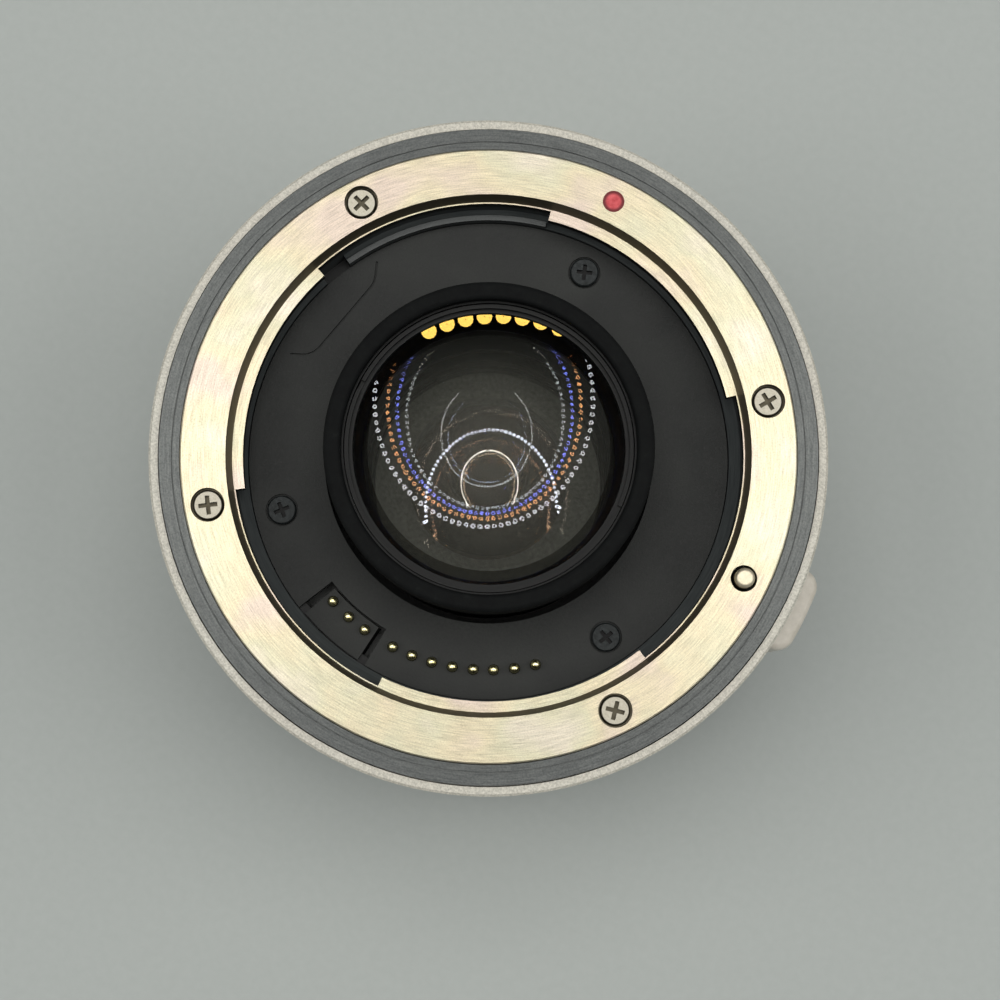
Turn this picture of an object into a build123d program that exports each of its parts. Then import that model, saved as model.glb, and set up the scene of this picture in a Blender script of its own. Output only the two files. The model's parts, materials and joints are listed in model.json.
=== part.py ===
from build123d import *
import os
from math import cos, degrees, pi, radians, sin, sqrt

os.makedirs("parts", exist_ok=True)

# Teleconverter with a 54 mm bayonet at both ends. The origin is the centre of
# the camera side flange, +Z points to the lens, +Y to the red index dot and +X
# to the lock pin. Angles are in degrees, counted from +X towards +Y.

# Main sizes
flange_gap = 45.2  # from the camera flange to the lens flange
nose_reach = 7.5  # how far the lens tube stands out of the lens flange
spigot_reach = 6.0  # how far the camera bayonet stands out of its flange
throat_radius = 27.0
flange_width = 5.5  # both steel flanges, outside the throat
spigot_play = 1.4  # camera bayonet inside a throat of the same size
glass_inset = 12.1  # glass inside the throat

# Shared clearances
fit = 0.1  # between fixed pieces that slip into each other
pin_fit = 0.07  # radial play of a sliding pin
move_gap = 0.3  # beside pieces that move
thread_fit = 0.05  # radial play drawn at a screw thread
over = 1.0  # overrun of cuts
gap_point_count = 24  # points per turn where a spring's gap is measured

# Lens side bayonet
mount_thickness = 2.6
lug_depth = 1.6  # lug tops below the flange
lug_thickness = 1.6
lug_reach = 1.0  # lugs into the throat
bevel_width = 0.57  # slope between flange and ledge
ledge_width = 0.13
collar_width = 1.2
edge_chamfer = 0.15
lug_angles = ((39.9, 102.0), (158.6, 214.0), (270.7, 333.7))
screw_inset = 2.5  # screw circle inside the flange's edge
mount_screw_angles = (36.9, 143.0, 216.6, 322.3)
counterbore_radius = 1.8
counterbore_depth = 1.3
dot_radius = 1.15
dot_depth = 0.3
dot_angle = 90
pin_inset = 2.7
pin_mouth_radius = 1.4
shim_thickness = 0.2

# Mount screws, used at both ends
mount_head_radius = 1.6
mount_head_height = 0.95
mount_shank_radius = 0.95
mount_screw_length = 4.7
mount_cross = (2.0, 0.46, 0.6)  # length, width and depth of the cross recess
crown_share = 0.2  # bevel of every cross screw, of its head's height

# Outer barrel
rim_drop = 0.8  # rim below the lens flange
rim_wall = 1.0
rim_round = 0.25
body_wall = 1.7
rear_taper = 1.0
taper_height = 7.0
rear_round = 0.4
rear_lip_height = 1.5
body_low = 0.9

# Dark trim ring between rim and flange
trim_width = 2.15
trim_gap = 0.15
trim_drop = 0.35
trim_groove_offset = 0.7
trim_groove_width = 0.15
trim_groove_depth = 0.2
trim_skirt = 0.4

# Wall below the lugs
trap_step_depth = 4.8  # below the flange
trap_reach = 1.14  # wall inside the throat
trap_slope_height = 1.0
wall_notch_angles = (151.6, 158.6)
wall_block_angles = (102.5, 151.6)
wall_block_width = 0.55
wall_block_height = 0.9
leaf_width = 0.8
leaf_thickness = 0.2
leaf_span_angle = 40
leaf_hump_angle = 4

# Baffle plate
plate_depth = 6.3  # its top below the flange
plate_thickness = 0.8
nose_gap = 0.65  # plate's hole round the nose
plate_screw_inset = 3.0  # inside the wall
plate_screw_angles = (89.2, 220.0, 329.5)
plate_recess_radius = 1.75
plate_recess_depth = 0.35
plate_head_radius = 1.55
plate_head_height = 0.75
plate_shank_radius = 0.6
plate_screw_length = 3.6
plate_cross = (1.7, 0.42, 0.45)
flap_insets = (1.1, 2.87, 3.62, 1.56)  # flap line's corners inside the plate's edge
flap_angles = (145.6, 148.8, 175.6, 177.9)
flap_corner = 2.4
flap_line_width = 0.25
flap_line_depth = 0.3

# Spring contacts
contact_inset = 3.26  # inside the wall
main_contact_angles = (269.2, 274.9, 280.6, 286.3, 292.0, 297.5, 303.2, 309.0)
side_contact_angles = (248.7, 254.7, 260.3)
contact_travel = 1.0
contact_radius = 0.525
contact_reach = 1.1  # dome above the plate
contact_collar_radius = 0.75
contact_collar_height = 0.8
contact_tail_radius = 0.38
contact_bore_radius = 0.85
contact_floor = 0.8
contact_block_height = 5.5
contact_block_reach = 2.0  # block inside the contact circle
main_block_angles = (266.2, 312.0)
side_island_angles = (246.3, 263.1)
side_pocket_angles = (244.2, 265.2)
side_pocket_reach = 1.3  # pocket inside the contact circle
island_gap = 0.25
contact_wire_radius = 0.07
contact_coil_radius = 0.58
contact_turns = 4

# Inner frame
shelf_thickness = 1.1
shelf_width = 3.4
tube_wall = 1.8
tube_inset = 1.9  # frame tube inside the front seat
web_thickness = 3.0
mid_web_height = 16.5
mid_web_thickness = 3.0
boss_width = 3.8
boss_height = 3.6
boss_screw_depth = 3.2
seat_screw_depth = 4.0
cable_slot_angles = (267, 289)
cable_slot_width = 2.0

# Circuit board
board_thickness = 1.0
board_gap = 0.8  # to the frame tube
board_tube_gap = 2.6  # to the lens tube
board_angles = (235, 321)
board_post_inset = 2.8
board_post_angles = (239, 316.5)
board_post_radius = 1.8
board_head_radius = 1.25
board_head_height = 0.7
board_shank_radius = 0.6
board_screw_length = 3.4
board_cross = (1.4, 0.35, 0.4)
chip_height = 0.9
chip_inset = 3.6  # middle of the chips inside the board's edge
chip_sizes = ((4.6, 4.6), (3.2, 2.4), (3.0, 3.0), (1.8, 1.2))
chip_angles = (258, 274, 297, 308)
flex_thickness = 0.2
flex_width = 7.0

# Lens tube
tube_shell = 1.4
tube_low = 6.0
tube_recess = 1.5  # tube end below the nose
tube_flange_width = 5.1
tube_flange_thickness = 1.8
tube_screw_inset = 2.3
tube_screw_angles = (30, 150, 270)
tube_screw_length = 3.8
nose_wall = 0.55
nose_height = 6.2
nose_lip_thickness = 1.4
nose_lip_width = 1.8
nose_round = 0.5
retainer_width = 0.8
retainer_height = 1.9
retainer_step_height = 0.7
retainer_step_width = 0.4
rear_retainer_height = 1.0
rear_retainer_recess = 0.37  # inside the tube's rear end
spanner_width = 1.0
spanner_depth = 0.5

# Glass. Top and bottom vertex are shares of the glass length, from the front
# vertex down. The bulges of the top and bottom face are shares of the glass
# radius, where a hollow face has a negative one.
glass_recess = 2.9  # front vertex below the nose
cement_gap = 0.04
spacer_width = 1.5
element_shares = (
    (0.0000, 0.0421, 0.060, -0.134),
    (0.0435, 0.1601, 0.134, 0.020),
    (0.2191, 0.2567, -0.040, -0.148),
    (0.2581, 0.4147, 0.148, 0.161),
    (0.4161, 0.4572, -0.161, -0.060),
    (0.5422, 0.5798, -0.054, -0.121),
    (0.5812, 0.7118, 0.121, 0.054),
    (0.7824, 0.8719, 0.047, 0.060),
    (0.9569, 0.9945, -0.080, -0.013),
)
group_counts = (2, 3, 2, 1, 1)  # elements in each group, with a spacer between groups

# Lock pin and its lever
lock_travel = 2.0
lock_pin_radius = 1.05
lock_pin_reach = 1.4
lock_pin_round = 0.4
lock_tail_radius = 0.7
arm_thickness = 1.6
arm_width = 4.4
arm_overhang = 1.4
slider_thickness = 1.2
slider_width = 8.0
slider_height = 8.2
slider_gap = 0.3  # slider outside the frame tube
lever_proud = 2.4
lever_width = 10.0
lever_height = 10.4
lever_corner = 2.0
lever_round = 0.7
lever_gap = 0.15
lever_top_drop = 8.0  # below the rim
neck_width = 4.4
neck_height = 4.0
neck_drop = 2.4  # below the lever's top
ridge_count = 4
ridge_pitch = 1.7
ridge_width = 0.5
ridge_depth = 0.35
lever_screw_spacing = 2.3
lever_head_radius = 0.9
lever_head_height = 0.6
lever_shank_radius = 0.5
lever_screw_reach = 2.9
lock_wire_radius = 0.17
lock_coil_radius = 1.15
lock_turns = 6
bracket_margin = 1.0  # spring bracket beyond the coil
spring_length = 8.0
bracket_height = 3.0
window_width = 7.0

# Camera side bayonet
rear_mount_thickness = 2.2
spigot_wall = 1.3
spigot_chamfer = 0.3
male_lug_reach = 1.15
male_lug_low = 4.4
male_lug_high = 2.9
male_lug_centre_angles = (70.3, 182.0, 306.6)
male_lug_span_angles = (54.4, 54.9, 64.7)
rear_screw_inset = 3.3
rear_screw_angles = (60, 150, 240, 330)
lock_hole_radius = 1.4
lock_hole_depth = 1.8
rear_dot_inset = 1.5
rear_dot_angle = 30
seal_width = 1.6
seal_proud = 0.6
seal_lip = 0.5

# Camera side baffle and contacts
rear_plate_depth = 5.2  # its face below the flange
rear_plate_thickness = 0.8
skirt_wall = 1.0
window_long = 30.0
window_short = 22.0
window_corner = 2.5
tunnel_wall = 1.0
rear_boss_inset = 3.7  # inside the spigot's bore
rear_boss_angles = (90, 190, 350)
rear_boss_radius = 1.7
rear_head_radius = 1.25
rear_head_height = 0.6
rear_shank_radius = 0.6
rear_screw_engage = 2.0
rear_cross = (1.4, 0.35, 0.35)
rear_block_angles = (244, 312)
rear_block_width = 3.0
rear_block_depth = 5.3
pad_length = 2.0
pad_width = 1.5
pad_thickness = 0.3

# Heights and radii that follow from the sizes above
mount_radius = throat_radius + flange_width
mount_low = flange_gap - mount_thickness
ledge_top = flange_gap - lug_depth
collar_low = ledge_top - lug_thickness
collar_radius = throat_radius + collar_width
flange_bore = throat_radius + ledge_width + bevel_width
lug_radius = throat_radius - lug_reach
screw_circle_radius = mount_radius - screw_inset
pin_circle_radius = mount_radius - pin_inset
seat_top = mount_low - shim_thickness
seat_bore = collar_radius + fit
trim_bore = mount_radius + fit
trim_radius = trim_bore + trim_width
trim_seat = seat_top - trim_skirt
trim_top = flange_gap - trim_drop
rim_bore = trim_radius + trim_gap
rim_top = flange_gap - rim_drop
body_radius = rim_bore + rim_wall
body_bore = body_radius - body_wall
seat_radius = body_bore - fit
trap_bore = throat_radius - trap_reach
plate_top = flange_gap - plate_depth
plate_low = plate_top - plate_thickness
seat_low = plate_low - shelf_thickness
seat_height = seat_top - seat_low
plate_radius = trap_bore - fit
plate_screw_circle_radius = trap_bore - plate_screw_inset
contact_circle_radius = trap_bore - contact_inset
shelf_bore = seat_bore - shelf_width
frame_tube_radius = seat_radius - tube_inset
frame_tube_bore = frame_tube_radius - tube_wall
web_low = rear_mount_thickness + shim_thickness
web_top = web_low + web_thickness
mid_web_top = mid_web_height + mid_web_thickness
block_low = plate_low - contact_block_height
block_bore = contact_circle_radius - contact_block_reach
block_radius = shelf_bore - fit
board_low = block_low - board_thickness
board_radius = frame_tube_bore - board_gap
board_post_circle_radius = board_radius - board_post_inset
chip_circle_radius = board_radius - chip_inset
nose_top = flange_gap + nose_reach
glass_radius = throat_radius - glass_inset
retainer_bore = glass_radius - retainer_width
tube_bore = glass_radius + fit
tube_radius = tube_bore + tube_shell
board_bore = tube_radius + board_tube_gap
tube_flange_radius = tube_radius + tube_flange_width
tube_screw_circle_radius = tube_flange_radius - tube_screw_inset
tube_top = nose_top - tube_recess
nose_radius = tube_radius + thread_fit + nose_wall
nose_lip_bore = nose_radius - nose_lip_width
plate_hole_radius = nose_radius + nose_gap
glass_top = nose_top - glass_recess
glass_low = tube_low + rear_retainer_recess + rear_retainer_height
glass_length = glass_top - glass_low
rear_plate_low = -rear_plate_depth
rear_plate_top = rear_plate_low + rear_plate_thickness
spigot_radius = throat_radius - spigot_play
spigot_bore = spigot_radius - spigot_wall
rear_screw_circle_radius = mount_radius - rear_screw_inset
rear_dot_circle_radius = mount_radius - rear_dot_inset
rear_boss_circle_radius = spigot_bore - rear_boss_inset
skirt_radius = spigot_bore - fit
rear_block_top = web_low - fit
arm_top = seat_low - move_gap
arm_low = arm_top - arm_thickness
slider_in = frame_tube_radius + slider_gap
slider_out = slider_in + slider_thickness
lever_top = rim_top - lever_top_drop
neck_top = lever_top - neck_drop
neck_low = neck_top - neck_height
neck_middle = neck_low + neck_height / 2
spring_low = arm_low - spring_length
all_contact_angles = side_contact_angles + main_contact_angles


def polar(radius, angle):
    """Place on a circle about the optical axis."""
    return (radius * cos(radians(angle)), radius * sin(radians(angle)))


def annulus(outer, inner):
    """Ring in the current sketch."""
    Circle(outer)
    Circle(inner, mode=Mode.SUBTRACT)


def sector(inner, outer, angles, mode=Mode.ADD):
    """Piece of a ring between two angles, in the current sketch."""
    start, end = angles
    with BuildLine() as outline:
        CenterArc((0, 0), inner, start, end - start)
        CenterArc((0, 0), outer, start, end - start)
        Line(polar(inner, start), polar(outer, start))
        Line(polar(inner, end), polar(outer, end))
    make_face(outline.edges(), mode=mode)


def profile(*points):
    """Closed outline of (radius, height) points, in the current sketch."""
    with BuildLine() as outline:
        Polyline(*points, close=True)
    make_face(outline.edges())


def band(inner, outer, low, high):
    """Rectangle between two radii and two heights, in the current sketch."""
    profile((inner, low), (outer, low), (outer, high), (inner, high))


def drill(places, radius, height, depth):
    """Round holes down from a height, in the current part."""
    with BuildSketch(Plane.XY.offset(height - depth)) as holes:
        with Locations(*places):
            Circle(radius)
    extrude(holes.sketch, amount=depth, mode=Mode.SUBTRACT)


def cross_screws(places, turns, seat, way, head, shank, cross):
    """Cross-head screws. The heads stand on the seat and face way (1 or -1)."""
    head_radius, head_height = head
    shank_radius, length = shank
    slot_length, slot_width, slot_depth = cross
    with BuildPart() as group:
        with BuildSketch(Plane.XY.offset(seat)):
            with Locations(*places):
                Circle(head_radius)
        extrude(amount=way * head_height)
        crown = group.edges().filter_by(GeomType.CIRCLE).sort_by(Axis.Z, reverse=way > 0)
        chamfer(crown[: len(places)], head_height * crown_share)
        with BuildSketch(Plane.XY.offset(seat)):
            with Locations(*places):
                Circle(shank_radius)
        extrude(amount=-way * length)
        for place, turn in zip(places, turns):
            with BuildSketch(Plane.XY.offset(seat + way * (head_height - slot_depth))):
                with Locations(Location(place, turn)):
                    Rectangle(slot_length, slot_width)
                    Rectangle(slot_width, slot_length)
            extrude(amount=way * slot_depth, mode=Mode.SUBTRACT)
    return group


def coil_arcs(place, low, high, radius, turns):
    """Helix of two arcs for each half turn, in the current line."""
    rise = (high - low) / (2 * pi * turns)
    slant = sqrt(radius**2 + rise**2)

    def point(angle):
        x, y = place
        return Vector(x + radius * cos(angle), y + radius * sin(angle), low + rise * angle)

    def heading(angle):
        return Vector(-radius * sin(angle), radius * cos(angle), rise) / slant

    for half in range(2 * turns):
        start, end = half * pi, (half + 1) * pi
        chord = point(end) - point(start)
        both = heading(start) + heading(end)
        spread = 2 * (1 - heading(start).dot(heading(end)))
        along = chord.dot(both)
        handle = (sqrt(along**2 + spread * chord.dot(chord)) - along) / spread
        first = point(start) + heading(start) * handle
        second = point(end) - heading(end) * handle
        meet = (first + second) / 2
        TangentArc(point(start), meet, tangent=heading(start))
        TangentArc(meet, point(end), tangent=second - first)


def print_least_gap(line, turns, wire):
    """Clear distance of a coil to itself, on points that lie half a turn or more apart."""
    steps = turns * gap_point_count
    points = [line @ (step / steps) for step in range(steps + 1)]
    apart = gap_point_count // 2
    least = min((b - a).length for i, a in enumerate(points) for b in points[i + apart :])
    print(f"least gap of the spring to itself: {least - 2 * wire:.2f} mm")


def coil_springs(places, low, high, radius, turns, wire):
    """One unbroken spring at each place."""
    with BuildPart() as group:
        for place in places:
            with BuildLine() as path:
                coil_arcs(place, low, high, radius, turns)
            with BuildSketch(Plane(origin=path.line @ 0, z_dir=path.line % 0)):
                Circle(wire)
            sweep(path=path.line)
            print_least_gap(path.wire(), turns, wire)
    return group


# Steel ring of the lens side, with three lugs, screw seats and the pin's mouth
mount_screw_places = [polar(screw_circle_radius, angle) for angle in mount_screw_angles]
with BuildPart() as front_mount_ring:
    with BuildSketch(Plane.XZ):
        profile(
            (flange_bore, flange_gap),
            (mount_radius - edge_chamfer, flange_gap),
            (mount_radius, flange_gap - edge_chamfer),
            (mount_radius, mount_low),
            (collar_radius, mount_low),
            (collar_radius, collar_low),
            (throat_radius, collar_low),
            (throat_radius, ledge_top),
            (throat_radius + ledge_width, ledge_top),
        )
    revolve(axis=Axis.Z)
    with BuildSketch(Plane.XY.offset(collar_low)):
        for angles in lug_angles:
            sector(lug_radius, throat_radius + ledge_width, angles)
    extrude(amount=lug_thickness)
    drill(mount_screw_places, counterbore_radius, flange_gap, counterbore_depth)
    drill(mount_screw_places, mount_shank_radius + thread_fit, flange_gap, flange_gap - collar_low)
    drill([polar(pin_circle_radius, 0)], pin_mouth_radius, flange_gap, flange_gap - collar_low)
    drill([polar(screw_circle_radius, dot_angle)], dot_radius, flange_gap, dot_depth)
front_mount_ring.part.label = "front_mount_ring"
export_step(front_mount_ring.part, "parts/front_mount_ring.step")

# Four screws of the lens side ring
front_mount_screws = cross_screws(
    mount_screw_places,
    (57, 71, 33, 12),
    flange_gap - counterbore_depth,
    1,
    (mount_head_radius, mount_head_height),
    (mount_shank_radius, mount_screw_length),
    mount_cross,
)
front_mount_screws.part.label = "front_mount_screws"
export_step(front_mount_screws.part, "parts/front_mount_screws.step")

# Red index dot of the lens side
with BuildPart() as front_index_dot:
    with BuildSketch(Plane.XY.offset(flange_gap - dot_depth)):
        with Locations(polar(screw_circle_radius, dot_angle)):
            Circle(dot_radius)
    extrude(amount=dot_depth)
front_index_dot.part.label = "front_index_dot"
export_step(front_index_dot.part, "parts/front_index_dot.step")

# Thin washer that sets the height of the lens flange
with BuildPart() as front_mount_shim:
    with BuildSketch(Plane.XY.offset(seat_top)):
        annulus(mount_radius - fit, seat_bore)
        with Locations(*mount_screw_places):
            Circle(mount_shank_radius + fit, mode=Mode.SUBTRACT)
        with Locations(polar(pin_circle_radius, 0)):
            Circle(pin_mouth_radius, mode=Mode.SUBTRACT)
    extrude(amount=shim_thickness)
front_mount_shim.part.label = "front_mount_shim"
export_step(front_mount_shim.part, "parts/front_mount_shim.step")

# Painted outer barrel, with the slot that the lever's neck slides in
slot_top = neck_top + move_gap
slot_low = neck_low - lock_travel - move_gap
with BuildPart() as outer_barrel:
    with BuildSketch(Plane.XZ):
        profile(
            (rim_bore, rim_top),
            (body_radius - rim_round, rim_top),
            (body_radius, rim_top - rim_round),
            (body_radius, body_low + taper_height),
            (body_radius - rear_taper, body_low + rear_round),
            (body_radius - rear_taper - rear_round, body_low),
            (mount_radius + fit, body_low),
            (mount_radius + fit, body_low + rear_lip_height),
            (body_bore, body_low + rear_lip_height),
            (body_bore, trim_seat),
            (rim_bore, trim_seat),
        )
    revolve(axis=Axis.Z)
    with BuildSketch(Plane.YZ.offset(body_bore - over)):
        with Locations((0, (slot_low + slot_top) / 2)):
            Rectangle(neck_width + 2 * move_gap, slot_top - slot_low)
    extrude(amount=body_wall + 2 * over, mode=Mode.SUBTRACT)
outer_barrel.part.label = "outer_barrel"
export_step(outer_barrel.part, "parts/outer_barrel.step")

# Dark trim ring, pressed on round the steel ring
groove_in = trim_bore + trim_groove_offset
with BuildPart() as front_trim_ring:
    with BuildSketch(Plane.XZ):
        profile(
            (trim_bore, seat_top),
            (trim_bore, trim_top),
            (groove_in, trim_top),
            (groove_in, trim_top - trim_groove_depth),
            (groove_in + trim_groove_width, trim_top - trim_groove_depth),
            (groove_in + trim_groove_width, trim_top),
            (trim_radius, trim_top),
            (trim_radius, trim_seat),
            (seat_radius + fit, trim_seat),
            (seat_radius + fit, seat_top),
        )
    revolve(axis=Axis.Z)
front_trim_ring.part.label = "front_trim_ring"
export_step(front_trim_ring.part, "parts/front_trim_ring.step")

# Black wall between the lugs and the baffle plate
trap_step = flange_gap - trap_step_depth
with BuildPart() as light_trap_ring:
    with BuildSketch(Plane.XZ):
        profile(
            (trap_bore, plate_low),
            (collar_radius, plate_low),
            (collar_radius, collar_low),
            (throat_radius, collar_low),
            (throat_radius, trap_step),
            (trap_bore, trap_step - trap_slope_height),
        )
    revolve(axis=Axis.Z)
    with BuildSketch(Plane.XY.offset(trap_step - wall_block_height)):
        sector(trap_bore, trap_bore + wall_block_width, wall_block_angles)
    extrude(amount=wall_block_height)
    with BuildSketch(Plane.XY.offset(plate_low)):
        sector(trap_bore - over, throat_radius, wall_notch_angles)
    extrude(amount=trap_step - plate_low, mode=Mode.SUBTRACT)
light_trap_ring.part.label = "light_trap_ring"
export_step(light_trap_ring.part, "parts/light_trap_ring.step")

# Three leaf springs that press the lens's lugs up, one below each lug
leaf_low = collar_low - (collar_low - trap_step) / 2
with BuildPart() as bayonet_springs:
    with BuildSketch(Plane.XY.offset(leaf_low)):
        for start, end in lug_angles:
            middle = (start + end) / 2
            sector(
                throat_radius - leaf_width,
                throat_radius - fit,
                (middle - leaf_span_angle / 2, middle + leaf_span_angle / 2),
            )
    extrude(amount=leaf_thickness)
    with BuildSketch(Plane.XY.offset(leaf_low)):
        for start, end in lug_angles:
            middle = (start + end) / 2
            sector(
                throat_radius - leaf_width,
                throat_radius - fit,
                (middle - leaf_hump_angle / 2, middle + leaf_hump_angle / 2),
            )
    extrude(amount=collar_low - leaf_low - fit)
bayonet_springs.part.label = "bayonet_springs"
export_step(bayonet_springs.part, "parts/bayonet_springs.step")

# Baffle plate with the pin holes, the side contacts' pocket and the flap line
plate_screw_places = [polar(plate_screw_circle_radius, angle) for angle in plate_screw_angles]
main_contact_places = [polar(contact_circle_radius, angle) for angle in main_contact_angles]
side_contact_places = [polar(contact_circle_radius, angle) for angle in side_contact_angles]
contact_places = side_contact_places + main_contact_places
contact_hole_radius = contact_radius + pin_fit
pocket_bore = contact_circle_radius - side_pocket_reach
flap_corners = [polar(plate_radius - inset, a) for inset, a in zip(flap_insets, flap_angles)]
with BuildPart() as front_baffle_plate:
    with BuildSketch(Plane.XY.offset(plate_low)):
        annulus(plate_radius, plate_hole_radius)
        sector(pocket_bore, plate_radius + over, side_pocket_angles, mode=Mode.SUBTRACT)
        with Locations(*main_contact_places):
            Circle(contact_hole_radius, mode=Mode.SUBTRACT)
        with Locations(*plate_screw_places):
            Circle(plate_shank_radius + fit, mode=Mode.SUBTRACT)
    extrude(amount=plate_thickness)
    drill(plate_screw_places, plate_recess_radius, plate_top, plate_recess_depth)
    with BuildSketch(Plane.XY.offset(plate_top - flap_line_depth)):
        with BuildLine():
            FilletPolyline(*flap_corners, radius=flap_corner)
            offset(amount=flap_line_width / 2, side=Side.BOTH)
        make_face()
    extrude(amount=flap_line_depth, mode=Mode.SUBTRACT)
front_baffle_plate.part.label = "front_baffle_plate"
export_step(front_baffle_plate.part, "parts/front_baffle_plate.step")

# Three black screws of the baffle plate
front_baffle_screws = cross_screws(
    plate_screw_places,
    (20, 48, 65),
    plate_top - plate_recess_depth,
    1,
    (plate_head_radius, plate_head_height),
    (plate_shank_radius, plate_screw_length),
    plate_cross,
)
front_baffle_screws.part.label = "front_baffle_screws"
export_step(front_baffle_screws.part, "parts/front_baffle_screws.step")

# Block of the eight lens contacts, below the plate
bore_depth = contact_block_height - contact_floor
with BuildPart() as main_contact_block:
    with BuildSketch(Plane.XY.offset(block_low)):
        sector(block_bore, block_radius, main_block_angles)
    extrude(amount=contact_block_height)
    drill(main_contact_places, contact_bore_radius, plate_low, bore_depth)
main_contact_block.part.label = "main_contact_block"
export_step(main_contact_block.part, "parts/main_contact_block.step")

# Block of the three side contacts, whose island fills the plate's pocket
with BuildPart() as side_contact_block:
    with BuildSketch(Plane.XY.offset(block_low)):
        sector(pocket_bore + island_gap, block_radius, side_island_angles)
    extrude(amount=contact_block_height)
    with BuildSketch(Plane.XY.offset(plate_low)):
        sector(pocket_bore + island_gap, plate_radius - fit, side_island_angles)
    extrude(amount=plate_thickness)
    drill(side_contact_places, contact_hole_radius, plate_top, plate_thickness)
    drill(side_contact_places, contact_bore_radius, plate_low, bore_depth)
side_contact_block.part.label = "side_contact_block"
export_step(side_contact_block.part, "parts/side_contact_block.step")

# Gold contact pins, one solid each, numbered from the side contacts
contact_tip = plate_top + contact_reach
contact_collar_low = plate_low - fit - contact_collar_height
contact_bottom = block_low + contact_floor
contact_tail_length = contact_collar_low - contact_bottom - contact_travel - fit
for number, place in enumerate(contact_places, start=1):
    with BuildPart() as contact_pin:
        with BuildSketch(Plane.XY.offset(contact_collar_low)):
            with Locations(place):
                Circle(contact_radius)
        extrude(amount=contact_tip - contact_collar_low)
        fillet(contact_pin.edges().group_by(Axis.Z)[-1], contact_radius - thread_fit)
        with BuildSketch(Plane.XY.offset(contact_collar_low)):
            with Locations(place):
                Circle(contact_collar_radius)
        extrude(amount=contact_collar_height)
        with BuildSketch(Plane.XY.offset(contact_collar_low)):
            with Locations(place):
                Circle(contact_tail_radius)
        extrude(amount=-contact_tail_length)
    contact_pin.part.label = f"contact_pin_{number:02d}"
    export_step(contact_pin.part, f"parts/contact_pin_{number:02d}.step")

# Coil springs behind the contact pins
contact_springs = coil_springs(
    contact_places,
    contact_bottom + contact_wire_radius,
    contact_collar_low - contact_wire_radius,
    contact_coil_radius,
    contact_turns,
    contact_wire_radius,
)
contact_springs.part.label = "contact_springs"
export_step(contact_springs.part, "parts/contact_springs.step")

# Inner frame that carries both steel rings, the lens tube and the board
tube_screw_places = [polar(tube_screw_circle_radius, angle) for angle in tube_screw_angles]
rear_screw_places = [polar(rear_screw_circle_radius, angle) for angle in rear_screw_angles]
rear_boss_places = [polar(rear_boss_circle_radius, angle) for angle in rear_boss_angles]
board_post_places = [polar(board_post_circle_radius, angle) for angle in board_post_angles]
web_bore = tube_radius + fit
cable_in = spigot_bore - cable_slot_width
with BuildPart() as inner_frame:
    with BuildSketch(Plane.XZ):
        band(seat_bore, seat_radius, seat_low, seat_top)
        band(shelf_bore, seat_radius, seat_low, plate_low)
        band(frame_tube_bore, frame_tube_radius, web_low, plate_low)
        band(web_bore, frame_tube_radius, mid_web_height, mid_web_top)
        band(web_bore, seat_radius, web_low, web_top)
    revolve(axis=Axis.Z)
    with BuildSketch(Plane.XY.offset(plate_low - boss_height)):
        for angle in plate_screw_angles:
            with Locations(polar(plate_screw_circle_radius, angle)):
                Circle(boss_width / 2)
            with Locations(Location(polar(shelf_bore, angle), angle)):
                Rectangle(2 * (shelf_bore - plate_screw_circle_radius), boss_width)
    extrude(amount=boss_height)
    with BuildSketch(Plane.XY.offset(mid_web_top)):
        with Locations(*board_post_places):
            Circle(board_post_radius)
    extrude(amount=board_low - mid_web_top)
    with BuildSketch(Plane.XZ.offset(-arm_width / 2)):
        profile(
            (pin_circle_radius - lock_coil_radius - bracket_margin, spring_low),
            (frame_tube_bore + fit, spring_low),
            (frame_tube_bore + fit, spring_low - bracket_height),
        )
    extrude(amount=arm_width)
    drill(mount_screw_places, mount_shank_radius + thread_fit, seat_top, seat_screw_depth)
    drill([polar(pin_circle_radius, 0)], lock_pin_radius + pin_fit, seat_top, seat_height)
    drill(plate_screw_places, plate_shank_radius + thread_fit, plate_low, boss_screw_depth)
    drill(board_post_places, board_shank_radius + thread_fit, board_low, board_screw_length)
    drill(tube_screw_places, plate_shank_radius + thread_fit, mid_web_top, mid_web_thickness)
    drill(rear_screw_places, mount_shank_radius + thread_fit, web_top, web_thickness)
    drill(rear_boss_places, rear_shank_radius + thread_fit, web_top, web_thickness)
    with BuildSketch(Plane.XY.offset(web_low)):
        sector(cable_in, spigot_bore, cable_slot_angles)
    extrude(amount=mid_web_top - web_low, mode=Mode.SUBTRACT)
    with BuildSketch(Plane.YZ.offset(frame_tube_bore - over)):
        with Locations((0, (spring_low + seat_low) / 2)):
            Rectangle(window_width, seat_low - spring_low)
    extrude(amount=tube_wall + 2 * over, mode=Mode.SUBTRACT)
inner_frame.part.label = "inner_frame"
export_step(inner_frame.part, "parts/inner_frame.step")

# Circuit board below the contact blocks
with BuildPart() as circuit_board:
    with BuildSketch(Plane.XY.offset(board_low)):
        sector(board_bore, board_radius, board_angles)
        with Locations(*board_post_places):
            Circle(board_shank_radius + fit, mode=Mode.SUBTRACT)
    extrude(amount=board_thickness)
circuit_board.part.label = "circuit_board"
export_step(circuit_board.part, "parts/circuit_board.step")

# Chips on the underside of the board
with BuildPart() as circuit_chips:
    for (length, width), angle in zip(chip_sizes, chip_angles):
        with BuildSketch(Plane.XY.offset(board_low - chip_height)):
            with Locations(Location(polar(chip_circle_radius, angle), angle)):
                Rectangle(length, width)
        extrude(amount=chip_height)
circuit_chips.part.label = "circuit_chips"
export_step(circuit_chips.part, "parts/circuit_chips.step")

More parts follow.
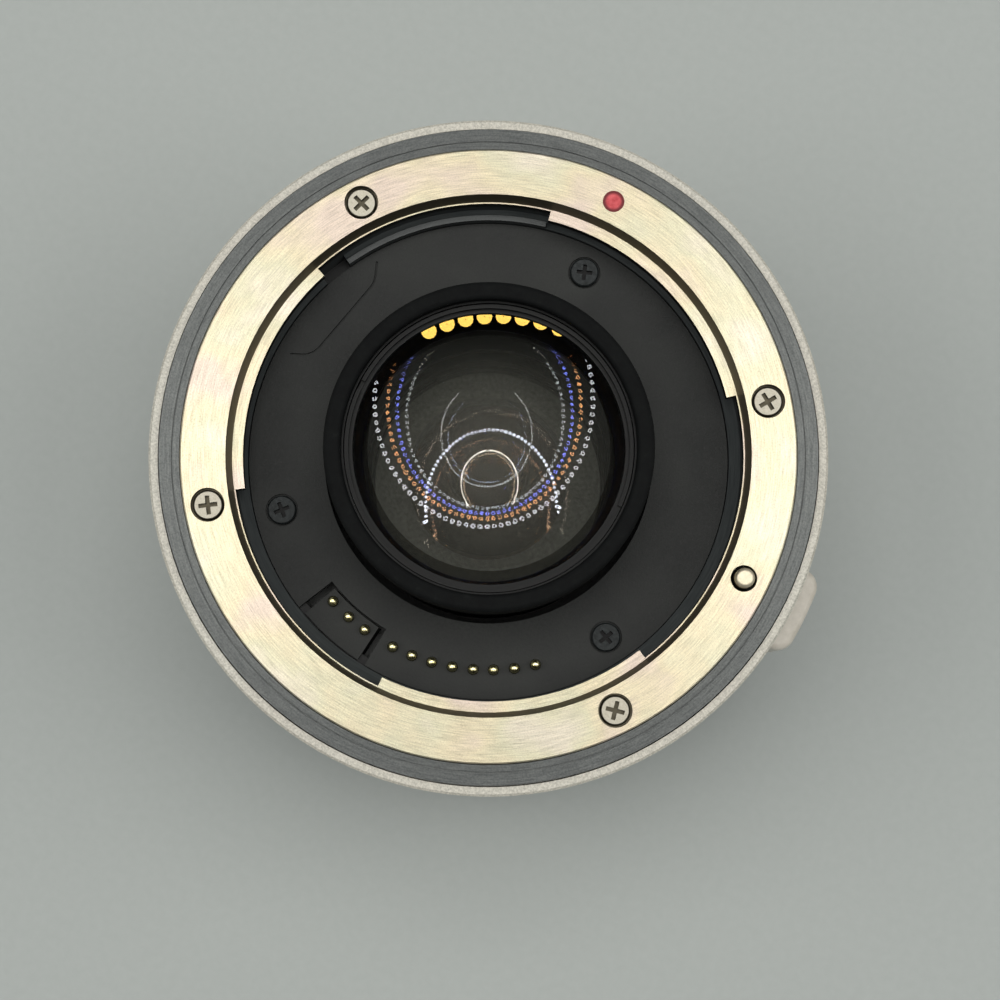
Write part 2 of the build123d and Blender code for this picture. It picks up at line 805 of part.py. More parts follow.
# Two screws that hold the board on its posts
board_screws = cross_screws(
    board_post_places,
    (15, 40),
    block_low,
    1,
    (board_head_radius, board_head_height),
    (board_shank_radius, board_thickness + board_screw_length - fit),
    board_cross,
)
board_screws.part.label = "board_screws"
export_step(board_screws.part, "parts/board_screws.step")

# Flat cable from the board down to the camera contacts
flex_angle = sum(cable_slot_angles) / 2
flex_circle_radius = spigot_bore - cable_slot_width / 2
with BuildPart() as contact_flex:
    with BuildSketch(Plane.XY.offset(rear_block_top)):
        with Locations(Location(polar(flex_circle_radius, flex_angle), flex_angle)):
            Rectangle(flex_thickness, flex_width)
    extrude(amount=board_low - rear_block_top)
contact_flex.part.label = "contact_flex"
export_step(contact_flex.part, "parts/contact_flex.step")

# Lens tube with the flange that is screwed onto the frame's middle web
tube_flange_top = mid_web_top + tube_flange_thickness
with BuildPart() as lens_tube:
    with BuildSketch(Plane.XZ):
        band(tube_bore, tube_radius, tube_low, tube_top)
        band(tube_bore, tube_flange_radius, mid_web_top, tube_flange_top)
    revolve(axis=Axis.Z)
    drill(tube_screw_places, plate_shank_radius + fit, tube_flange_top, tube_flange_thickness)
lens_tube.part.label = "lens_tube"
export_step(lens_tube.part, "parts/lens_tube.step")

# Three screws of the lens tube
lens_tube_screws = cross_screws(
    tube_screw_places,
    (0, 30, 60),
    tube_flange_top,
    1,
    (plate_head_radius, plate_head_height),
    (plate_shank_radius, tube_screw_length),
    plate_cross,
)
lens_tube_screws.part.label = "lens_tube_screws"
export_step(lens_tube_screws.part, "parts/lens_tube_screws.step")

# Rubber bumper round the end of the lens tube
with BuildPart() as nose_bumper:
    with BuildSketch(Plane.XZ):
        profile(
            (tube_radius + thread_fit, nose_top - nose_height),
            (nose_radius, nose_top - nose_height),
            (nose_radius, nose_top),
            (nose_lip_bore, nose_top),
            (nose_lip_bore, nose_top - nose_lip_thickness),
            (tube_radius + thread_fit, nose_top - nose_lip_thickness),
        )
    revolve(axis=Axis.Z)
    fillet(nose_bumper.edges().group_by(Axis.Z)[-1], nose_round)
nose_bumper.part.label = "nose_bumper"
export_step(nose_bumper.part, "parts/nose_bumper.step")


def top_face_height(shares, radius):
    """Height of an element's top face at a radius."""
    vertex, bulge = shares[0], shares[2]
    return glass_top - vertex * glass_length - bulge * radius**2 / glass_radius


def low_face_height(shares, radius):
    """Height of an element's bottom face at a radius."""
    vertex, bulge = shares[1], shares[3]
    return glass_top - vertex * glass_length + bulge * radius**2 / glass_radius


# Glass elements, numbered from the front
for number, shares in enumerate(element_shares, start=1):
    top_vertex, low_vertex = top_face_height(shares, 0), low_face_height(shares, 0)
    top_edge = top_face_height(shares, glass_radius)
    low_edge = low_face_height(shares, glass_radius)
    with BuildPart() as lens_element:
        with BuildSketch(Plane.XZ):
            with BuildLine():
                TangentArc((0, top_vertex), (glass_radius, top_edge), tangent=(1, 0))
                Line((glass_radius, top_edge), (glass_radius, low_edge))
                TangentArc((0, low_vertex), (glass_radius, low_edge), tangent=(1, 0))
                Line((0, low_vertex), (0, top_vertex))
            make_face()
        revolve(axis=Axis.Z)
    lens_element.part.label = f"lens_element_{number}"
    export_step(lens_element.part, f"parts/lens_element_{number}.step")

# Spacer rings between the glass groups
spacer_bore = glass_radius - spacer_width
with BuildPart() as lens_spacers:
    with BuildSketch(Plane.XZ):
        for group in range(1, len(group_counts)):
            element = sum(group_counts[:group])
            upper, lower = element_shares[element - 1], element_shares[element]
            above = min(low_face_height(upper, r) for r in (spacer_bore, glass_radius))
            below = max(top_face_height(lower, r) for r in (spacer_bore, glass_radius))
            band(spacer_bore, glass_radius, below + cement_gap, above - cement_gap)
    revolve(axis=Axis.Z)
lens_spacers.part.label = "lens_spacers"
export_step(lens_spacers.part, "parts/lens_spacers.step")

# Threaded rings that hold the glass in the tube from both ends
front_glass_edge = top_face_height(element_shares[0], retainer_bore) + cement_gap
retainer_top = front_glass_edge + retainer_height
with BuildPart() as front_retainer:
    with BuildSketch(Plane.XZ):
        profile(
            (retainer_bore, front_glass_edge),
            (glass_radius, front_glass_edge),
            (glass_radius, retainer_top),
            (retainer_bore + retainer_step_width, retainer_top),
            (retainer_bore + retainer_step_width, retainer_top - retainer_step_height),
            (retainer_bore, retainer_top - retainer_step_height),
        )
    revolve(axis=Axis.Z)
    with BuildSketch(Plane.XY.offset(retainer_top - spanner_depth)):
        Rectangle(2 * tube_radius, spanner_width)
    extrude(amount=spanner_depth, mode=Mode.SUBTRACT)
front_retainer.part.label = "front_retainer"
export_step(front_retainer.part, "parts/front_retainer.step")

rear_glass_edge = low_face_height(element_shares[-1], glass_radius) - cement_gap
with BuildPart() as rear_retainer:
    with BuildSketch(Plane.XZ):
        band(
            spacer_bore,
            glass_radius,
            rear_glass_edge - rear_retainer_height,
            rear_glass_edge,
        )
    revolve(axis=Axis.Z)
    with BuildSketch(Plane.XY.offset(rear_glass_edge - rear_retainer_height)):
        Rectangle(2 * tube_radius, spanner_width)
    extrude(amount=spanner_depth, mode=Mode.SUBTRACT)
rear_retainer.part.label = "rear_retainer"
export_step(rear_retainer.part, "parts/rear_retainer.step")

# Lock pin, with the tail that guides its spring
pin_x = pin_circle_radius
lock_pin_top = flange_gap + lock_pin_reach
lock_tail_length = arm_thickness + spring_length - lock_travel - move_gap
with BuildPart() as lock_pin:
    with BuildSketch(Plane.XY.offset(arm_top)):
        with Locations((pin_x, 0)):
            Circle(lock_pin_radius)
    extrude(amount=lock_pin_top - arm_top)
    fillet(lock_pin.edges().group_by(Axis.Z)[-1], lock_pin_round)
    with BuildSketch(Plane.XY.offset(arm_top)):
        with Locations((pin_x, 0)):
            Circle(lock_tail_radius)
    extrude(amount=-lock_tail_length)
lock_pin.part.label = "lock_pin"
export_step(lock_pin.part, "parts/lock_pin.step")

# Sliding plate inside the barrel, whose arm draws the pin down
lever_screw_places = [(side * lever_screw_spacing / 2, neck_middle) for side in (-1, 1)]
with BuildPart() as lever_slider:
    with BuildSketch(Plane.YZ.offset(slider_in)):
        with Locations((0, arm_top - slider_height / 2)):
            Rectangle(slider_width, slider_height)
    extrude(amount=slider_thickness)
    with BuildSketch(Plane.XY.offset(arm_low)):
        with Locations(((pin_x - arm_overhang + slider_out) / 2, 0)):
            Rectangle(slider_out - pin_x + arm_overhang, arm_width)
    extrude(amount=arm_thickness)
    drill([(pin_x, 0)], lock_tail_radius + thread_fit, arm_top, arm_thickness)
    with BuildSketch(Plane.YZ.offset(slider_in)):
        with Locations(*lever_screw_places):
            Circle(lever_shank_radius + thread_fit)
    extrude(amount=slider_thickness, mode=Mode.SUBTRACT)
lever_slider.part.label = "lever_slider"
export_step(lever_slider.part, "parts/lever_slider.step")

# Release lever outside the barrel, with a ridged face and its neck
lever_bore = body_radius + lever_gap
lever_radius = body_radius + lever_proud
lever_half_angle = degrees(lever_width / 2 / lever_radius)
with BuildPart() as release_lever:
    with BuildSketch(Plane.XY.offset(lever_top - lever_height)) as pad:
        sector(lever_bore, lever_radius, (-lever_half_angle, lever_half_angle))
        fillet(pad.vertices().sort_by_distance((0, 0))[-2:], lever_corner)
    extrude(amount=lever_height)
    ends = release_lever.faces().filter_by(Axis.Z).edges()
    fillet(ends.filter_by(lambda edge: edge.center().X > lever_bore + lever_round), lever_round)
    with BuildSketch(Plane.XZ):
        for index in range(ridge_count):
            height = lever_top - lever_height / 2 + (index - (ridge_count - 1) / 2) * ridge_pitch
            band(
                lever_radius - ridge_depth,
                lever_radius + over,
                height - ridge_width / 2,
                height + ridge_width / 2,
            )
    revolve(axis=Axis.Z, mode=Mode.SUBTRACT)
    with BuildSketch(Plane.YZ.offset(slider_out)):
        with Locations((0, neck_middle)):
            Rectangle(neck_width, neck_height)
    extrude(amount=lever_bore + lever_gap - slider_out)
    with BuildSketch(Plane.YZ.offset(slider_out)):
        with Locations(*lever_screw_places):
            Circle(lever_shank_radius + thread_fit)
    extrude(amount=lever_screw_reach - slider_thickness, mode=Mode.SUBTRACT)
release_lever.part.label = "release_lever"
export_step(release_lever.part, "parts/release_lever.step")

# Two screws from inside through the slider into the lever's neck
with BuildPart() as lever_screws:
    with BuildSketch(Plane.YZ.offset(slider_in)):
        with Locations(*lever_screw_places):
            Circle(lever_head_radius)
    extrude(amount=-lever_head_height)
    with BuildSketch(Plane.YZ.offset(slider_in)):
        with Locations(*lever_screw_places):
            Circle(lever_shank_radius)
    extrude(amount=lever_screw_reach - fit)
lever_screws.part.label = "lever_screws"
export_step(lever_screws.part, "parts/lever_screws.step")

# Coil spring that pushes the lock pin out again
lock_pin_spring = coil_springs(
    [(pin_x, 0)],
    spring_low + lock_wire_radius,
    arm_low - lock_wire_radius,
    lock_coil_radius,
    lock_turns,
    lock_wire_radius,
)
lock_pin_spring.part.label = "lock_pin_spring"
export_step(lock_pin_spring.part, "parts/lock_pin_spring.step")

# Steel bayonet of the camera side, with its spigot and three lugs
with BuildPart() as rear_mount_ring:
    with BuildSketch(Plane.XZ):
        profile(
            (spigot_bore, -spigot_reach),
            (spigot_radius - spigot_chamfer, -spigot_reach),
            (spigot_radius, spigot_chamfer - spigot_reach),
            (spigot_radius, 0),
            (mount_radius - edge_chamfer, 0),
            (mount_radius, edge_chamfer),
            (mount_radius, rear_mount_thickness),
            (spigot_bore, rear_mount_thickness),
        )
    revolve(axis=Axis.Z)
    with BuildSketch(Plane.XY.offset(-male_lug_low)):
        for centre, span in zip(male_lug_centre_angles, male_lug_span_angles):
            sector(
                spigot_radius - fit,
                spigot_radius + male_lug_reach,
                (centre - span / 2, centre + span / 2),
            )
    extrude(amount=male_lug_low - male_lug_high)
    drill(rear_screw_places, counterbore_radius, counterbore_depth, counterbore_depth)
    drill(
        rear_screw_places,
        mount_shank_radius + thread_fit,
        rear_mount_thickness,
        rear_mount_thickness,
    )
    drill([polar(pin_circle_radius, 0)], lock_hole_radius, lock_hole_depth, lock_hole_depth)
    drill([polar(rear_dot_circle_radius, rear_dot_angle)], dot_radius, dot_depth, dot_depth)
rear_mount_ring.part.label = "rear_mount_ring"
export_step(rear_mount_ring.part, "parts/rear_mount_ring.step")

# Red index dot of the camera side
with BuildPart() as rear_index_dot:
    with BuildSketch(Plane.XY):
        with Locations(polar(rear_dot_circle_radius, rear_dot_angle)):
            Circle(dot_radius)
    extrude(amount=dot_depth)
rear_index_dot.part.label = "rear_index_dot"
export_step(rear_index_dot.part, "parts/rear_index_dot.step")

# Thin washer between the camera side bayonet and the frame
with BuildPart() as rear_mount_shim:
    with BuildSketch(Plane.XY.offset(rear_mount_thickness)):
        annulus(mount_radius - fit, spigot_radius)
        with Locations(*rear_screw_places):
            Circle(mount_shank_radius + fit, mode=Mode.SUBTRACT)
    extrude(amount=shim_thickness)
rear_mount_shim.part.label = "rear_mount_shim"
export_step(rear_mount_shim.part, "parts/rear_mount_shim.step")

# Four screws of the camera side bayonet
rear_mount_screws = cross_screws(
    rear_screw_places,
    (10, 35, 60, 80),
    counterbore_depth,
    -1,
    (mount_head_radius, mount_head_height),
    (mount_shank_radius, web_top - counterbore_depth - fit),
    mount_cross,
)
rear_mount_screws.part.label = "rear_mount_screws"
export_step(rear_mount_screws.part, "parts/rear_mount_screws.step")

# Rubber seal round the camera side flange
with BuildPart() as rear_seal_ring:
    with BuildSketch(Plane.XZ):
        profile(
            (mount_radius + fit, body_low),
            (mount_radius + fit, 0),
            (mount_radius + fit + seal_width - seal_lip, -seal_proud),
            (mount_radius + fit + seal_width, -seal_proud),
            (mount_radius + fit + seal_width, body_low),
        )
    revolve(axis=Axis.Z)
rear_seal_ring.part.label = "rear_seal_ring"
export_step(rear_seal_ring.part, "parts/rear_seal_ring.step")

# Camera side baffle with its window, skirt and screw bosses
rear_block_bore = skirt_radius - rear_block_width
block_start, block_end = rear_block_angles
gap_angle = degrees(fit / rear_block_bore)
rear_gap_angles = (block_start - gap_angle, block_end + gap_angle)
with BuildPart() as rear_baffle:
    with BuildSketch(Plane.XY.offset(rear_plate_low)):
        Circle(skirt_radius)
        RectangleRounded(window_long, window_short, window_corner, mode=Mode.SUBTRACT)
    extrude(amount=rear_plate_thickness)
    with BuildSketch(Plane.XY.offset(rear_plate_top)):
        annulus(skirt_radius, skirt_radius - skirt_wall)
        with Locations(*rear_boss_places):
            Circle(rear_boss_radius)
        RectangleRounded(
            window_long + 2 * tunnel_wall,
            window_short + 2 * tunnel_wall,
            window_corner + tunnel_wall,
        )
        RectangleRounded(window_long, window_short, window_corner, mode=Mode.SUBTRACT)
    extrude(amount=rear_block_top - rear_plate_top)
    with BuildSketch(Plane.XY.offset(rear_plate_low)):
        sector(rear_block_bore - fit, skirt_radius + over, rear_gap_angles)
    extrude(amount=rear_block_top - rear_plate_low, mode=Mode.SUBTRACT)
    drill(
        rear_boss_places,
        rear_head_radius + fit,
        rear_plate_low + rear_head_height,
        rear_head_height,
    )
    drill(
        rear_boss_places,
        rear_shank_radius + fit,
        rear_block_top,
        rear_block_top - rear_plate_low,
    )
rear_baffle.part.label = "rear_baffle"
export_step(rear_baffle.part, "parts/rear_baffle.step")

# Three screws of the camera side baffle
rear_head_seat = rear_plate_low + rear_head_height
rear_baffle_screws = cross_screws(
    rear_boss_places,
    (25, 50, 75),
    rear_head_seat,
    -1,
    (rear_head_radius, rear_head_height),
    (rear_shank_radius, web_low + rear_screw_engage - rear_head_seat),
    rear_cross,
)
rear_baffle_screws.part.label = "rear_baffle_screws"
export_step(rear_baffle_screws.part, "parts/rear_baffle_screws.step")

# Block that carries the camera contacts
with BuildPart() as rear_contact_block:
    with BuildSketch(Plane.XY.offset(-rear_block_depth)):
        sector(rear_block_bore, skirt_radius, rear_block_angles)
    extrude(amount=rear_block_top + rear_block_depth)
rear_contact_block.part.label = "rear_contact_block"
export_step(rear_contact_block.part, "parts/rear_contact_block.step")

# Flat gold pads of the camera contacts
with BuildPart() as rear_contact_pads:
    with BuildSketch(Plane.XY.offset(-rear_block_depth)):
        for angle in all_contact_angles:
            with Locations(Location(polar(contact_circle_radius, angle), angle)):
                Rectangle(pad_length, pad_width)
    extrude(amount=-pad_thickness)
rear_contact_pads.part.label = "rear_contact_pads"
export_step(rear_contact_pads.part, "parts/rear_contact_pads.step")
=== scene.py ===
import json
import math

import bpy
from mathutils import Matrix, Vector


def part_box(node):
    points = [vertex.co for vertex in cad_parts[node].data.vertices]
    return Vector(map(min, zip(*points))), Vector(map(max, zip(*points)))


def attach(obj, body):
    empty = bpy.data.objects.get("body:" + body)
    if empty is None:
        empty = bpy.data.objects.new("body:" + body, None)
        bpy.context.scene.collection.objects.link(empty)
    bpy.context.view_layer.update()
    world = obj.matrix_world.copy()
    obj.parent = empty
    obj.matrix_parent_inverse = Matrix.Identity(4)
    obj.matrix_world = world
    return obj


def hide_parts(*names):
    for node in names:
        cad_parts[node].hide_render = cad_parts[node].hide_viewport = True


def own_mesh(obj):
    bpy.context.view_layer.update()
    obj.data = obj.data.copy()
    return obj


# Sizes are in metres and angles in degrees, unless a name says otherwise
MM = 0.001

# Heights in millimetres where painted shade starts or ends on the CAD's pieces
RING_SHADE = (43.63, 45.17)  # painted shade on the bevel, counterbores and pin mouth of the lens side ring
RING_SHADE_RADIUS = 32.1  # the painted shade stays inside its outer chamfer
LUG_SHADE = 43.57  # painted shade, near black, below the tops of its lugs
SCREW_SHADE = 44.74  # painted shade below the screws' faces
PLATE_SCREW_SHADE = 39.15  # painted shade below the faces of the baffle plate's screws
PIN_SHADE = 39.0  # painted shade on the contact pins below the baffle plate's face
LOCK_PIN_SHADE = 45.5  # painted shade on the lock pin in its mouth

# Lamp of the reflections: an open oval of small round sources at camera height
LAMP_ACROSS = 0.060
LAMP_ALONG = 0.072
LAMP_SHIFT = (-0.0018, 0.0574)  # to the picture's right and up, from the optical axis
LAMP_GAP = 40.0  # half the opening, at the picture's top
LAMP_COUNT = 78
LAMP_RADII = (0.0005, 0.00135)  # inside and outside of each source
LAMP_STRENGTH = 16.0
LAMP_SIDES = 14
# The near part of that oval, with the large sources that the amber rim mirrors
NEAR_TURNS = (158.5, 199.5)
NEAR_COUNT = 8
NEAR_RADII = (0.0002, 0.0027)
NEAR_OUT = 0.0044  # how far it lies outside the oval
NEAR_STRENGTH = 2.3

# Soft square lights: place to the picture's right, up and high, size and watts
LIGHTS = {
    "key_light": ((0.0, 0.12, 0.9), 0.5, 3.3, (1.0, 0.985, 0.95)),
    "right_light": ((0.85, 0.0, 1.15), 0.8, 5.8, (1.0, 0.98, 0.93)),
    "left_light": ((-0.85, 0.0, 1.15), 0.8, 5.8, (1.0, 0.98, 0.93)),
}
WORLD_STRENGTH = 0.3

# Walls of the studio and the floor
WALL_RADIUS = 1.9
WALL_LEVELS = (-0.05, 0.3, 0.65, 1.0)
WALL_TURNS = 48
WALL_STRENGTH = 0.4
FLOOR_HALF = 1.5

# Glass faces: vertex height, radius of curvature (positive bulges to the lens
# side) and half width, in millimetres, then the coating's tint and strength
GLASS_FACES = {
    "lens_element_1": [
        (49.8, 158.0, 14.8, (250, 250, 255), 0.035), (48.9, 132.0, 14.0, (240, 166, 104), 0.05),
    ],
    "lens_element_2": [
        (47.6, 115.5, 14.0, (120, 132, 250), 0.06), (46.4, 99.9, 13.9, (200, 206, 205), 0.045),
        (44.5, 50.8, 12.0, (210, 214, 210), 0.05), (43.6, 42.3, 11.0, (160, 172, 190), 0.04),
    ],
    "lens_element_4": [(33.4, -60.0, 11.5, (200, 190, 170), 0.02)],
    "lens_element_5": [(31.9, -60.0, 10.0, (170, 150, 130), 0.02)],
    "lens_element_6": [
        (26.8, -27.4, 4.7, (255, 246, 226), 0.4), (25.4, -25.0, 4.3, (250, 224, 190), 0.4),
    ],
    "lens_element_7": [(19.6, -58.5, 9.2, (200, 205, 215), 0.4)],
    "lens_element_8": [(12.8, -55.8, 9.2, (236, 190, 150), 0.4)],
}
AMBER_GLASS = (48.2, -96.3, 14.8, (255, 206, 96), 0.6)  # rim of the first element
AMBER_INNER = 12.6
# Hazed faces: the same, with the haze's cover in place of tint and strength
HAZED_FACES = {"lens_element_3": (40.5, 160.0, 14.0, 0.15), "lens_element_9": (9.2, -280.0, 14.8, 0.96)}
HAZE_REACH = 14.0  # radius in millimetres where the haze's painted shade is darkest
GLASS_PASSES = 48  # faces a ray may pass, more than the glass has on the way in and out

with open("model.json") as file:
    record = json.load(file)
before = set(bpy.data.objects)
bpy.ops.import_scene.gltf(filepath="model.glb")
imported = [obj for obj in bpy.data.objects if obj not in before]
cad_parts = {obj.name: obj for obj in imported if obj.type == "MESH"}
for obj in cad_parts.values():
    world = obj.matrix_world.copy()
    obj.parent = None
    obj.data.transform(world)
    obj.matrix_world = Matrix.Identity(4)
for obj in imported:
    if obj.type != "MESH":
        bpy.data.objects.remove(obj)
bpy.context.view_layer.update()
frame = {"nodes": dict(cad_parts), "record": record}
nodes = frame["nodes"]

# The photograph: 1000 pixels square, with the centre of the rim at RIM_PIXEL
IMAGE_PIXELS = 1000
RIM_PIXEL = (488.8, 454.3)
FOCAL_PIXELS = 2464
SENSOR_WIDTH_MM = 36.0
CAMERA_DISTANCE = 0.260  # to the centre of the rim
CAMERA_LEAN = 6.06  # from the optical axis
CAMERA_SIDE = 294.0  # towards this angle
PICTURE_UP = 116.2  # the angle that points up in the photograph

FLOOR_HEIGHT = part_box("rear_contact_pads")[0].z
RIM_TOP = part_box("outer_barrel")[1].z


def flat_direction(angle):
    """Unit vector in the flange's plane."""
    turn = math.radians(angle)
    return Vector((math.cos(turn), math.sin(turn), 0.0))


def basis(forward, up):
    """Columns: forward, up made square to it, and their cross product."""
    first = forward.normalized()
    second = (up - first * up.dot(first)).normalized()
    return Matrix((first, second, first.cross(second))).transposed()


def make_camera():
    """Camera that sees the rim's centre at its pixel, with PICTURE_UP upwards."""
    lean = math.radians(CAMERA_LEAN)
    sight = flat_direction(CAMERA_SIDE) * math.sin(lean) + Vector((0, 0, math.cos(lean)))
    centre = Vector((0, 0, RIM_TOP))
    half = IMAGE_PIXELS / 2
    ray = Vector((RIM_PIXEL[0] - half, half - RIM_PIXEL[1], -FOCAL_PIXELS))
    turn = basis(-sight, flat_direction(PICTURE_UP)) @ basis(ray, Vector((0, 1, 0))).transposed()
    data = bpy.data.cameras.new("camera")
    data.sensor_width = SENSOR_WIDTH_MM
    data.lens = FOCAL_PIXELS / IMAGE_PIXELS * SENSOR_WIDTH_MM
    data.clip_start = 0.01
    data.clip_end = 20.0
    camera = bpy.data.objects.new("camera", data)
    camera.matrix_world = Matrix.Translation(centre + sight * CAMERA_DISTANCE) @ turn.to_4x4()
    bpy.context.scene.collection.objects.link(camera)
    bpy.context.scene.camera = camera


def linear(*levels):
    """Linear colour from display levels of 0 to 255."""
    shares = [level / 255 for level in levels]
    return [s / 12.92 if s <= 0.04045 else ((s + 0.055) / 1.055) ** 2.4 for s in shares] + [1.0]


def add(tree, kind, inputs=None, **settings):
    """Shader node with its settings, and its inputs as values or sockets."""
    made = tree.nodes.new("ShaderNode" + kind)
    for key, value in settings.items():
        setattr(made, key, value)
    for key, value in (inputs or {}).items():
        if isinstance(value, bpy.types.NodeSocket):
            tree.links.new(value, made.inputs[key])
        else:
            made.inputs[key].default_value = value
    return made


def new_material(name, **values):
    """Material with a principled shader, and the sockets' own values."""
    made = bpy.data.materials.new(name)
    made.use_nodes = True
    tree = made.node_tree
    shader = tree.nodes["Principled BSDF"]
    for key, value in values.items():
        shader.inputs[key.replace("_", " ")].default_value = value
    return made, tree, shader


def coordinates(tree):
    """Place on the object, in the frame's own metres."""
    return add(tree, "TexCoord").outputs["Object"]


def flat_place(tree):
    """Place in the flange's plane."""
    parts = add(tree, "SeparateXYZ", {0: coordinates(tree)}).outputs
    return add(tree, "CombineXYZ", {"X": parts["X"], "Y": parts["Y"]}).outputs[0]


def flat_radius(tree):
    """Distance from the optical axis."""
    return add(tree, "VectorMath", {0: flat_place(tree)}, operation="LENGTH").outputs["Value"]


def turned(tree, stretch):
    """Coordinates that run along the turning marks of a turned face: angle, radius and height."""
    parts = add(tree, "SeparateXYZ", {0: coordinates(tree)}).outputs
    angle = add(tree, "Math", {0: parts["Y"], 1: parts["X"]}, operation="ARCTAN2").outputs[0]
    along = add(tree, "Math", {0: angle, 1: stretch}, operation="MULTIPLY").outputs[0]
    return add(tree, "CombineXYZ", {"X": along, "Y": flat_radius(tree), "Z": parts["Z"]}).outputs[0]


def flat_middle(node):
    """Middle of a node's box in the flange's plane."""
    low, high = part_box(node)
    return ((low + high) / 2).xy


def from_middle(tree, node):
    """Flat distance from a round node's middle: 0 there and 1 at its edge."""
    low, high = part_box(node)
    inputs = {0: flat_place(tree), 1: (*flat_middle(node), 0.0)}
    away = add(tree, "VectorMath", inputs, operation="DISTANCE").outputs["Value"]
    return span(tree, away, 0, 1, 0, (high.x - low.x) / 2)


def between(tree, low, high):
    """1 where the object's height in millimetres lies between low and high, else 0."""
    height = add(tree, "SeparateXYZ", {0: coordinates(tree)}).outputs["Z"]
    above = add(tree, "Math", {0: height, 1: low * MM}, operation="GREATER_THAN").outputs[0]
    below = add(tree, "Math", {0: height, 1: high * MM}, operation="LESS_THAN").outputs[0]
    return add(tree, "Math", {0: above, 1: below}, operation="MULTIPLY").outputs[0]


def mixed(tree, factor, first, second, blend="MIX"):
    """Mix of two colours."""
    inputs = {"Fac": factor, "Color1": first, "Color2": second}
    return add(tree, "MixRGB", inputs, blend_type=blend).outputs[0]


def turned_sheen(tree, shader):
    """Gloss that is drawn out across the turning marks."""
    tangent = add(tree, "Tangent", direction_type="RADIAL", axis="Z").outputs[0]
    tree.links.new(tangent, shader.inputs["Tangent"])


def noise(tree, vector, scale, detail=2.0, roughness=0.5):
    """Noise whose scale is in waves per metre."""
    inputs = {"Vector": vector, "Scale": scale, "Detail": detail, "Roughness": roughness}
    return add(tree, "TexNoise", inputs).outputs["Fac"]


def ramp(tree, factor, *stops):
    """Colour ramp through (position, colour) stops."""
    made = add(tree, "ValToRGB", {"Fac": factor})
    elements = made.color_ramp.elements
    while len(elements) < len(stops):
        elements.new(0.5)
    for element, (position, colour) in zip(elements, stops):
        element.position = position
        element.color = colour
    return made.outputs["Color"]


def span(tree, factor, low, high, start=0.3, end=0.7):
    """The factor's range from start to end, spread from low to high."""
    inputs = {"Value": factor, "From Min": start, "From Max": end, "To Min": low, "To Max": high}
    return add(tree, "MapRange", inputs).outputs["Result"]


def bump(tree, shader, height, depth, before=None):
    """Bump of a depth in metres on the shader. Returns its normal."""
    inputs = {"Height": height, "Distance": depth, "Strength": 1.0}
    if before is not None:
        inputs["Normal"] = before
    normal = add(tree, "Bump", inputs).outputs["Normal"]
    tree.links.new(normal, shader.inputs["Normal"])
    return normal


def link(tree, socket, shader, name):
    tree.links.new(socket, shader.inputs[name])


def hammered_paint():
    """Light warm enamel with a fine hammered grain and small darker flecks."""
    made, tree, shader = new_material(
        "hammered_paint", Roughness=0.48, Coat_Weight=0.25, Coat_Roughness=0.25,
    )
    place = coordinates(tree)
    grain = noise(tree, place, 4400, 3, 0.6)
    broad = noise(tree, place, 60, 2)
    colour = ramp(
        tree, grain,
        (0.3, linear(152, 150, 141)), (0.46, linear(178, 175, 165)), (0.66, linear(204, 201, 191)),
    )
    tint = ramp(tree, broad, (0.3, linear(251, 249, 245)), (0.7, linear(255, 255, 252)))
    link(tree, mixed(tree, 1.0, colour, tint, "MULTIPLY"), shader, "Base Color")
    link(tree, span(tree, grain, 0.38, 0.6), shader, "Roughness")
    bump(tree, shader, grain, 0.00003)
    return made


def lever_paint():
    """Smooth warm enamel of the lever, a little worn."""
    made, tree, shader = new_material("lever_paint", Roughness=0.4, Coat_Weight=0.2, Coat_Roughness=0.3)
    place = coordinates(tree)
    uneven = noise(tree, place, 900, 3, 0.6)
    colour = ramp(tree, uneven, (0.3, linear(186, 180, 167)), (0.7, linear(204, 198, 186)))
    link(tree, colour, shader, "Base Color")
    bump(tree, shader, uneven, 0.00001)
    return made


def blasted_steel(name, painted_shade_band):
    """Matte cream steel with a fine blasted grain, turning marks and faint colour patches."""
    made, tree, shader = new_material(
        name, Metallic=1.0, Roughness=0.45, Anisotropic=0.7, Anisotropic_Rotation=0.25,
    )
    place = coordinates(tree)
    grain = noise(tree, place, 5600, 4, 0.8)
    marks = noise(tree, turned(tree, 0.0016), 9000, 2, 0.5)
    patches = noise(tree, place, 110, 2.5)
    hue = ramp(
        tree, patches,
        (0.34, linear(242, 226, 212)), (0.46, linear(247, 236, 206)), (0.56, linear(240, 236, 208)),
        (0.68, linear(248, 240, 222)),
    )
    speckle = ramp(tree, grain, (0.34, linear(196, 193, 187)), (0.56, linear(230, 230, 230)))
    colour = mixed(tree, 1.0, hue, speckle, "MULTIPLY")
    brushed = ramp(tree, marks, (0.3, linear(216, 216, 216)), (0.66, linear(255, 255, 255)))
    colour = mixed(tree, 1.0, colour, brushed, "MULTIPLY")
    # Painted shade: the inner bevel, counterbores and pin mouth are painted darker, and everything below
    # the lug tops near black
    if painted_shade_band:
        limits = {0: flat_radius(tree), 1: RING_SHADE_RADIUS * MM}
        inner = add(tree, "Math", limits, operation="LESS_THAN").outputs[0]
        band = add(tree, "Math", {0: between(tree, *painted_shade_band), 1: inner}, operation="MULTIPLY").outputs[0]
        colour = mixed(tree, band, colour, linear(104, 98, 84))
        colour = mixed(tree, between(tree, 0, LUG_SHADE), colour, linear(30, 30, 28))
    link(tree, colour, shader, "Base Color")
    link(tree, span(tree, grain, 0.36, 0.54), shader, "Roughness")
    turned_sheen(tree, shader)
    first = bump(tree, shader, grain, 0.000012)
    bump(tree, shader, marks, 0.000008, first)
    return made


